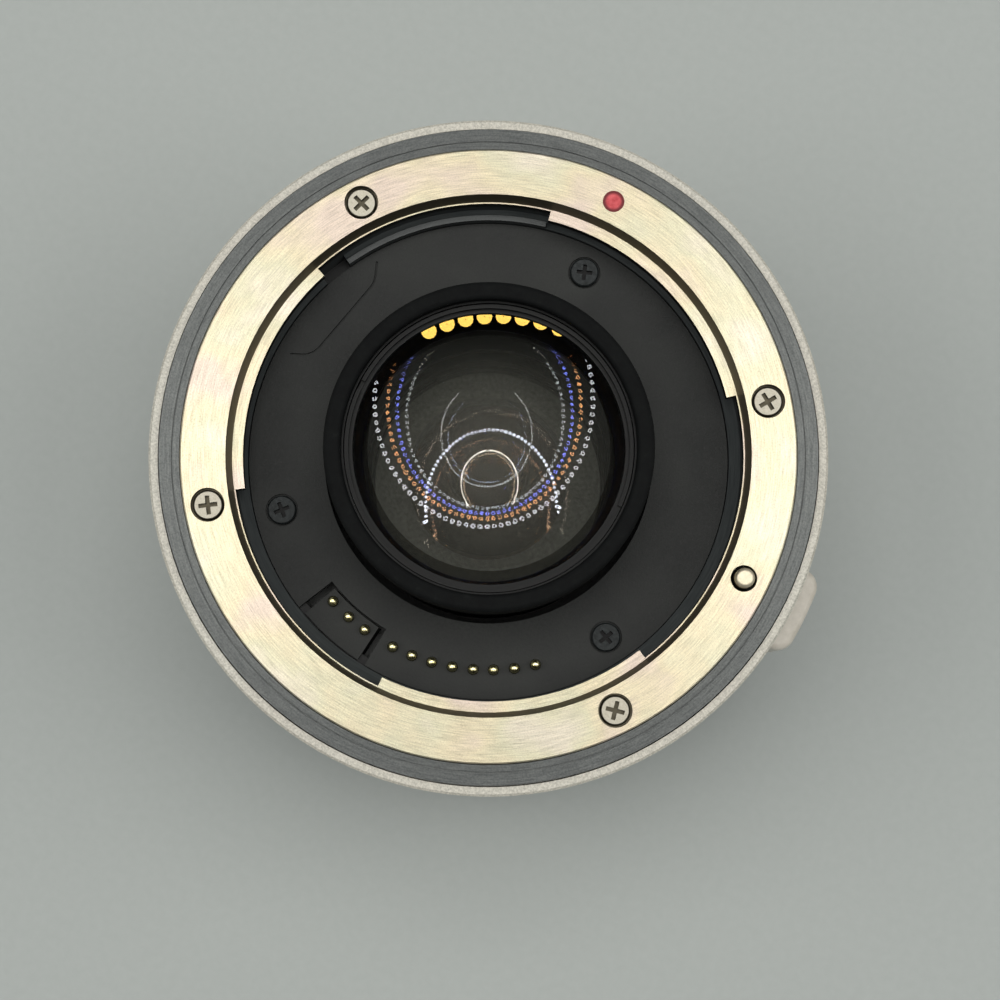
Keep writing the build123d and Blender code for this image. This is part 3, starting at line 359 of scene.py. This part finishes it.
def bright_steel(name, painted_shade_band):
    """Plated steel, smooth with fine scratches, and painted shade in the recesses when a band is given."""
    made, tree, shader = new_material(name, Metallic=1.0, Roughness=0.4)
    place = coordinates(tree)
    scratch = noise(tree, place, 2400, 4, 0.7)
    colour = ramp(tree, scratch, (0.3, linear(130, 126, 115)), (0.7, linear(168, 164, 152)))
    # Painted shade in the screws' recesses below the given height
    if painted_shade_band:
        colour = mixed(tree, between(tree, *painted_shade_band), colour, linear(70, 66, 56))
    link(tree, colour, shader, "Base Color")
    link(tree, span(tree, scratch, 0.34, 0.5), shader, "Roughness")
    bump(tree, shader, scratch, 0.00001)
    return made


def pin_steel():
    """Blunt matte face of the lock pin, with painted shade where it sits in its mouth."""
    made, tree, shader = new_material("pin_steel", Metallic=1.0, Roughness=0.5)
    wear = noise(tree, coordinates(tree), 3600, 3, 0.7)
    colour = ramp(tree, wear, (0.3, linear(206, 196, 172)), (0.7, linear(226, 218, 196)))
    # Painted shade where the pin sits in its mouth
    colour = mixed(tree, between(tree, 0, LOCK_PIN_SHADE), colour, linear(120, 112, 94))
    link(tree, colour, shader, "Base Color")
    bump(tree, shader, wear, 0.00001)
    return made


def dull_steel():
    """Spring steel, grey and drawn."""
    made, tree, shader = new_material("dull_steel", Metallic=1.0, Roughness=0.35)
    scratch = noise(tree, coordinates(tree), 1800, 3, 0.6)
    colour = ramp(tree, scratch, (0.3, linear(120, 120, 118)), (0.7, linear(160, 158, 152)))
    link(tree, colour, shader, "Base Color")
    bump(tree, shader, scratch, 0.000008)
    return made


def dark_anodised():
    """Dark grey turned ring, satin, with fine circular marks."""
    made, tree, shader = new_material(
        "dark_anodised", Metallic=0.7, Roughness=0.5, Anisotropic=0.75, Anisotropic_Rotation=0.25,
    )
    marks = noise(tree, turned(tree, 0.002), 6000, 3, 0.6)
    grain = noise(tree, coordinates(tree), 5200, 2, 0.6)
    colour = ramp(tree, marks, (0.3, linear(88, 91, 91)), (0.7, linear(112, 115, 114)))
    flecks = ramp(tree, grain, (0.35, linear(215, 215, 215)), (0.62, linear(255, 255, 255)))
    link(tree, mixed(tree, 1.0, colour, flecks, "MULTIPLY"), shader, "Base Color")
    turned_sheen(tree, shader)
    first = bump(tree, shader, marks, 0.00001)
    bump(tree, shader, grain, 0.000012, first)
    return made


def moulded_black():
    """Matte black moulded plastic with a fine texture."""
    made, tree, shader = new_material("moulded_black", Roughness=0.6, Specular_IOR_Level=0.3)
    place = coordinates(tree)
    grain = noise(tree, place, 3000, 4, 0.7)
    broad = noise(tree, place, 160, 2)
    colour = ramp(tree, broad, (0.3, linear(37, 39, 39)), (0.7, linear(46, 48, 47)))
    speckle = ramp(tree, grain, (0.34, linear(186, 188, 188)), (0.62, linear(255, 254, 250)))
    link(tree, mixed(tree, 1.0, colour, speckle, "MULTIPLY"), shader, "Base Color")
    link(tree, span(tree, grain, 0.5, 0.7), shader, "Roughness")
    bump(tree, shader, grain, 0.00003)
    return made


def black_anodised():
    """Black anodised metal, satin, with turning marks."""
    made, tree, shader = new_material("black_anodised", Roughness=0.45, Specular_IOR_Level=0.35)
    marks = noise(tree, turned(tree, 0.002), 5200, 2, 0.5)
    colour = ramp(tree, marks, (0.3, linear(17, 18, 20)), (0.7, linear(26, 28, 30)))
    link(tree, colour, shader, "Base Color")
    link(tree, span(tree, marks, 0.32, 0.48), shader, "Roughness")
    bump(tree, shader, marks, 0.000012)
    return made


def well_black():
    """Black paint of the wall below the lugs, slightly blue and satin."""
    made, tree, shader = new_material("well_black", Roughness=0.5, Specular_IOR_Level=0.5)
    marks = noise(tree, turned(tree, 0.002), 5200, 2, 0.5)
    colour = ramp(tree, marks, (0.3, linear(50, 54, 55)), (0.7, linear(64, 68, 68)))
    link(tree, colour, shader, "Base Color")
    bump(tree, shader, marks, 0.00001)
    return made


def tube_black():
    """Deep black of the lens tube, its spacers and retainers, with fine turning marks."""
    made, tree, shader = new_material("tube_black", Roughness=0.42, Specular_IOR_Level=0.16)
    marks = noise(tree, turned(tree, 0.002), 5200, 2, 0.5)
    colour = ramp(tree, marks, (0.3, linear(7, 8, 9)), (0.7, linear(13, 15, 15)))
    link(tree, colour, shader, "Base Color")
    bump(tree, shader, marks, 0.000012)
    return made


def frame_alloy():
    """Machined alloy, black anodised."""
    made, tree, shader = new_material("frame_alloy", Roughness=0.55, Specular_IOR_Level=0.3)
    marks = noise(tree, turned(tree, 0.003), 3000, 3, 0.6)
    colour = ramp(tree, marks, (0.3, linear(14, 15, 16)), (0.7, linear(24, 25, 26)))
    link(tree, colour, shader, "Base Color")
    bump(tree, shader, marks, 0.00001)
    return made


def soft_rubber():
    """Black rubber, matte with a faint dusty bloom."""
    made, tree, shader = new_material("soft_rubber", Roughness=0.75, Specular_IOR_Level=0.12)
    place = coordinates(tree)
    dust = noise(tree, place, 900, 5, 0.7)
    colour = ramp(
        tree, dust, (0.35, linear(9, 10, 11)), (0.62, linear(13, 15, 15)), (0.8, linear(26, 28, 27)),
    )
    link(tree, colour, shader, "Base Color")
    bump(tree, shader, dust, 0.00002)
    return made


def screw_black():
    """Blackened screw steel, worn a little brighter, with painted shade in its recess."""
    made, tree, shader = new_material("screw_black", Metallic=0.4, Roughness=0.5, Specular_IOR_Level=0.3)
    wear = noise(tree, coordinates(tree), 2600, 4, 0.7)
    colour = ramp(tree, wear, (0.35, linear(20, 24, 25)), (0.7, linear(44, 48, 49)))
    # Painted shade in the screws' recesses below their faces
    colour = mixed(tree, between(tree, 0, PLATE_SCREW_SHADE), colour, linear(3, 3, 4))
    link(tree, colour, shader, "Base Color")
    bump(tree, shader, wear, 0.00002)
    return made


def red_enamel():
    """Red enamel with a slightly uneven face."""
    made, tree, shader = new_material("red_enamel", Roughness=0.45, Specular_IOR_Level=0.25)
    uneven = noise(tree, coordinates(tree), 1500, 3, 0.6)
    face = ramp(tree, uneven, (0.3, linear(176, 48, 56)), (0.7, linear(214, 92, 96)))
    edge = ramp(tree, from_middle(tree, "front_index_dot"), (0.6, (0, 0, 0, 1)), (0.82, (1, 1, 1, 1)))
    colour = mixed(tree, edge, face, linear(104, 22, 28))
    link(tree, colour, shader, "Base Color")
    bump(tree, shader, uneven, 0.00006)
    return made


def gold(name, painted_shade_top):
    """Gold plating, polished with a few fine marks. Below the given height it is painted dark, as shade
    where the pins sink into the baffle plate.
    """
    made, tree, shader = new_material(name, Metallic=1.0, Roughness=0.26)
    marks = noise(tree, coordinates(tree), 3000, 3, 0.6)
    colour = ramp(tree, marks, (0.3, linear(222, 212, 150)), (0.7, linear(250, 244, 196)))
    # Painted shade on the pins below the given height, where they sink into the plate
    if painted_shade_top:
        colour = mixed(tree, between(tree, 0, painted_shade_top), colour, linear(20, 19, 14))
    link(tree, colour, shader, "Base Color")
    link(tree, span(tree, marks, 0.2, 0.34), shader, "Roughness")
    return made


def board_mask():
    """Very dark green solder mask with faint tracks below it."""
    made, tree, shader = new_material("board_mask", Roughness=0.4)
    tracks = add(tree, "TexVoronoi", {"Vector": coordinates(tree), "Scale": 700.0}, distance="MANHATTAN")
    colour = ramp(tree, tracks.outputs["Distance"], (0.2, linear(6, 15, 10)), (0.5, linear(11, 24, 16)))
    link(tree, colour, shader, "Base Color")
    return made


def plain_film(name, low, high, roughness):
    """Even surface with a faint mottling between two colours."""
    made, tree, shader = new_material(name, Roughness=roughness)
    mottle = noise(tree, coordinates(tree), 1200, 3, 0.6)
    link(tree, ramp(tree, mottle, (0.3, linear(*low)), (0.7, linear(*high))), shader, "Base Color")
    return made


def coated_glass(name, tint, reflect):
    """Coated glass face: nearly clear, with a weak tinted reflection and a trace of dust."""
    made, tree, shader = new_material(name, Metallic=1.0, Roughness=0.0, Alpha=reflect)
    dust = noise(tree, coordinates(tree), 2500, 4, 0.7)
    weaker = [share * 0.9 for share in linear(*tint)[:3]] + [1.0]
    link(tree, ramp(tree, dust, (0.3, weaker), (0.7, linear(*tint))), shader, "Base Color")
    return made


def hazed_glass(name, cover):
    """Glass face whose thin grey haze takes the studio light, painted lighter in the middle and darker
    outward as the shade of the tube's lip.
    """
    made, tree, shader = new_material(name, Roughness=0.6, Specular_IOR_Level=0.0, Alpha=cover)
    murk = noise(tree, coordinates(tree), 2200, 3, 0.6)
    # Painted shade: lighter at the middle, darker out to HAZE_REACH, as the tube's lip shades the haze
    outward = span(tree, flat_radius(tree), 0, 1, 0, HAZE_REACH * MM)
    colour = ramp(tree, outward, (0.1, linear(232, 232, 216)), (0.9, linear(150, 152, 142)))
    dust = ramp(tree, murk, (0.3, linear(215, 215, 215)), (0.7, linear(255, 255, 255)))
    link(tree, mixed(tree, 1.0, colour, dust, "MULTIPLY"), shader, "Base Color")
    return made


def cap(height, curvature, half, inner=0.0, rings=14, turns=64):
    """Points and faces of a spherical cap on the axis, in metres, or of its band outside inner."""
    points = [] if inner else [(0.0, 0.0, height * MM)]
    faces = [] if inner else [(0, 1 + step, 1 + (step + 1) % turns) for step in range(turns)]
    start = len(points)
    radii = [inner + (half - inner) * ring / rings for ring in range(start, rings + 1)]
    for radius in radii:
        drop = abs(curvature) - math.sqrt(curvature**2 - radius**2)
        level = height - math.copysign(drop, curvature)
        for step in range(turns):
            turn = 2 * math.pi * step / turns
            points.append((radius * math.cos(turn) * MM, radius * math.sin(turn) * MM, level * MM))
    for ring in range(len(radii) - 1):
        low, high = start + ring * turns, start + (ring + 1) * turns
        for step in range(turns):
            after = (step + 1) % turns
            faces.append((low + step, high + step, high + after, low + after))
    return points, faces


def make_shells(name, node, shells, looks, inner=0.0):
    """One piece of coated or hazed faces that stands for a glass element."""
    mesh = bpy.data.meshes.new(name)
    points, faces, slots = [], [], []
    for index, (shell, look) in enumerate(zip(shells, looks)):
        shell_points, shell_faces = cap(*shell[:3], inner)
        faces += [tuple(len(points) + corner for corner in face) for face in shell_faces]
        points += shell_points
        slots += [index] * len(shell_faces)
        mesh.materials.append(look)
    mesh.from_pydata(points, [], faces)
    for polygon, slot in zip(mesh.polygons, slots):
        polygon.material_index = slot
        polygon.use_smooth = True
    piece = bpy.data.objects.new(name, mesh)
    bpy.context.scene.collection.objects.link(piece)
    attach(piece, "housing")
    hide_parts(node)
    return piece


def make_glass():
    """Glass elements as their faces. Returns the coated ones and the amber one, which only lamps light."""
    coated = []
    for node, shells in GLASS_FACES.items():
        looks = [coated_glass(f"coating_{node[-1]}_{i}", *shell[3:]) for i, shell in enumerate(shells)]
        coated.append(make_shells("glass_" + node[-1], node, shells, looks))
    for node, shell in HAZED_FACES.items():
        make_shells("glass_" + node[-1], node, [shell], [hazed_glass("haze_" + node[-1], shell[3])])
    amber = coated_glass("coating_amber", *AMBER_GLASS[3:])
    return coated, make_shells("glass_1_rim", "lens_element_1", [AMBER_GLASS], [amber], AMBER_INNER)


def dress_cad():
    """Every CAD node takes the material of its slot in the record, or one of its own."""
    looks = {
        "barrel_paint": hammered_paint(),
        "dark_metal": dark_anodised(),
        "mount_steel": blasted_steel("blasted_steel", None),
        "bright_steel": bright_steel("bright_steel", None),
        "spring_steel": dull_steel(),
        "red_enamel": red_enamel(),
        "black_plastic": moulded_black(),
        "black_metal": black_anodised(),
        "frame_alloy": frame_alloy(),
        "board_green": board_mask(),
        "chip_black": plain_film("chip_epoxy", (26, 26, 28), (40, 40, 42), 0.6),
        "flex_film": plain_film("amber_film", (140, 78, 26), (176, 104, 40), 0.35),
        "black_rubber": soft_rubber(),
        "contact_gold": gold("gold", None),
        "coated_glass": coated_glass("coated_glass", (235, 240, 255), 0.05),
    }
    own = {
        "front_mount_ring": blasted_steel("front_steel", RING_SHADE),
        "front_mount_screws": bright_steel("front_screw_steel", (0, SCREW_SHADE)),
        "lock_pin": pin_steel(),
        "release_lever": lever_paint(),
        "light_trap_ring": well_black(),
        "front_baffle_screws": screw_black(),
    }
    deep = tube_black()
    own |= dict.fromkeys(("lens_tube", "front_retainer", "lens_spacers", "rear_retainer"), deep)
    pin_gold = gold("pin_gold", PIN_SHADE)
    for part in frame["record"]["subparts"]:
        node = part["node"]
        look = own.get(node, looks[part["material_slot"]])
        if node.startswith("contact_pin"):
            look = pin_gold
        mesh = nodes[node].data
        mesh.materials.clear()
        mesh.materials.append(look)


def make_spring(node, joint, chosen):
    """The node's chosen faces as one coil, named after the joint."""
    source = nodes[node].data
    corners = sorted({corner for polygon in chosen for corner in polygon.vertices})
    place = {corner: index for index, corner in enumerate(corners)}
    name = "coil_" + joint
    mesh = bpy.data.meshes.new(name)
    faces = [[place[corner] for corner in polygon.vertices] for polygon in chosen]
    mesh.from_pydata([source.vertices[corner].co for corner in corners], [], faces)
    mesh.materials.append(source.materials[0])
    for polygon in mesh.polygons:
        polygon.use_smooth = True
    piece = bpy.data.objects.new(name, mesh)
    bpy.context.scene.collection.objects.link(piece)
    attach(piece, "housing")
    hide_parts(node)
    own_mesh(piece)


def make_springs():
    """Each contact's coil and the lock pin's coil, every one named after its own joint."""
    contacts = [f"{number:02d}" for number in range(1, 12)]
    middles = {number: flat_middle("contact_pin_" + number) for number in contacts}
    shares = {number: [] for number in contacts}
    for polygon in nodes["contact_springs"].data.polygons:
        nearest = min(contacts, key=lambda number: (polygon.center.xy - middles[number]).length)
        shares[nearest].append(polygon)
    for number, chosen in shares.items():
        make_spring("contact_springs", f"contact_{number}_press", chosen)
    whole = list(nodes["lock_pin_spring"].data.polygons)
    make_spring("lock_pin_spring", "lock_release", whole)


def make_floor():
    """Plain pale floor below the camera side."""
    made, tree, shader = new_material("floor", Roughness=0.8)
    grain = noise(tree, coordinates(tree), 900, 3)
    colour = ramp(tree, grain, (0.3, linear(163, 168, 165)), (0.7, linear(166, 171, 168)))
    link(tree, colour, shader, "Base Color")
    mesh = bpy.data.meshes.new("floor")
    half = FLOOR_HALF
    corners = [(-half, -half, 0), (half, -half, 0), (half, half, 0), (-half, half, 0)]
    mesh.from_pydata(corners, [], [(0, 1, 2, 3)])
    mesh.materials.append(made)
    floor = bpy.data.objects.new("floor", mesh)
    floor.location = (0, 0, FLOOR_HEIGHT)
    bpy.context.scene.collection.objects.link(floor)


def area_light(name, place, size, power, glass, colour):
    """Square soft light that faces the middle of the object and leaves the glass to the lamp."""
    data = bpy.data.lights.new(name, "AREA")
    data.shape = "SQUARE"
    data.size = size
    data.energy = power
    data.color = colour
    light = bpy.data.objects.new(name, data)
    target = Vector((0, 0, RIM_TOP / 2))
    light.location = place
    light.rotation_euler = (target - Vector(place)).to_track_quat("-Z", "Y").to_euler()
    light.visible_camera = False
    bpy.context.scene.collection.objects.link(light)
    light.light_linking.receiver_collection = linked(name, glass, "EXCLUDE")


def linked(name, pieces, state):
    """Collection that links a light to the pieces, or keeps it off them."""
    made = bpy.data.collections.new(name)
    for piece in pieces:
        made.objects.link(piece)
    for entry in made.collection_objects:
        entry.light_linking.link_state = state
    return made


def unseen_emitter(name, points, faces, colour, strength, glass, state):
    """Staging that only shows in the reflections of the pieces its link leaves it."""
    made = bpy.data.materials.new(name + "_light")
    made.use_nodes = True
    made.node_tree.nodes.clear()
    shine = add(made.node_tree, "Emission", {"Color": colour, "Strength": strength})
    add(made.node_tree, "OutputMaterial", {"Surface": shine.outputs[0]})
    made.cycles.emission_sampling = "NONE"
    mesh = bpy.data.meshes.new(name)
    mesh.from_pydata(points, [], faces)
    mesh.materials.append(made)
    emitter = bpy.data.objects.new(name, mesh)
    emitter.visible_camera = False
    emitter.visible_diffuse = False
    emitter.visible_transmission = False
    emitter.visible_volume_scatter = False
    emitter.visible_shadow = False
    bpy.context.scene.collection.objects.link(emitter)
    emitter.light_linking.receiver_collection = linked(name, glass, state)


def make_lamp(name, ends, count, radii, strength, glass, out=0.0):
    """Small round sources along the lamp's oval that only the given glass reflects."""
    centre = right * LAMP_SHIFT[0] + up * LAMP_SHIFT[1]
    centre.z = bpy.context.scene.camera.location.z
    points, faces = [], []
    for index in range(count):
        turn = math.radians(ends[0] + (ends[1] - ends[0]) * index / (count - 1))
        across, along = (LAMP_ACROSS + out) * math.sin(turn), (LAMP_ALONG + out) * math.cos(turn)
        place = centre + right * across + up * along
        first = len(points)
        for radius in radii:
            for side in range(LAMP_SIDES):
                points.append(place + flat_direction(360 * side / LAMP_SIDES) * radius)
        outer = first + LAMP_SIDES
        for side in range(LAMP_SIDES):
            after = (side + 1) % LAMP_SIDES
            faces.append((first + side, first + after, outer + after, outer + side))
    unseen_emitter(name, points, faces, (1, 1, 1, 1), strength, glass, "INCLUDE")


def make_walls(glass):
    """Pale studio walls that all but the glass reflect."""
    points, faces = [], []
    for level in WALL_LEVELS:
        for step in range(WALL_TURNS):
            points.append(flat_direction(360 * step / WALL_TURNS) * WALL_RADIUS + Vector((0, 0, level)))
    for ring in range(len(WALL_LEVELS) - 1):
        low, high = ring * WALL_TURNS, (ring + 1) * WALL_TURNS
        for step in range(WALL_TURNS):
            after = (step + 1) % WALL_TURNS
            faces.append((low + step, low + after, high + after, high + step))
    unseen_emitter("walls", points, faces, (0.95, 0.97, 1, 1), WALL_STRENGTH, glass, "EXCLUDE")


def make_lights(glass):
    """Plain soft studio light: a key above, one at each side, and an even fill."""
    world = bpy.data.worlds.new("world")
    world.use_nodes = True
    background = world.node_tree.nodes["Background"]
    background.inputs["Color"].default_value = (0.92, 0.95, 1.0, 1.0)
    background.inputs["Strength"].default_value = WORLD_STRENGTH
    bpy.context.scene.world = world
    world.cycles_visibility.glossy = False
    for name, (steps, size, power, colour) in LIGHTS.items():
        place = right * steps[0] + up * steps[1] + Vector((0, 0, steps[2]))
        area_light(name, place, size, power, glass, colour)
    make_walls(glass)


up = flat_direction(PICTURE_UP)
right = flat_direction(PICTURE_UP - 90)
make_camera()
dress_cad()
make_springs()
make_floor()
coated, amber = make_glass()
make_lamp("lamp", (LAMP_GAP, 360 - LAMP_GAP), LAMP_COUNT, LAMP_RADII, LAMP_STRENGTH, coated)
make_lamp("near_lamp", NEAR_TURNS, NEAR_COUNT, NEAR_RADII, NEAR_STRENGTH, [amber], NEAR_OUT)
make_lights([*coated, amber])
bpy.context.scene.view_settings.view_transform = "Standard"
bpy.context.scene.cycles.transparent_max_bounces = GLASS_PASSES
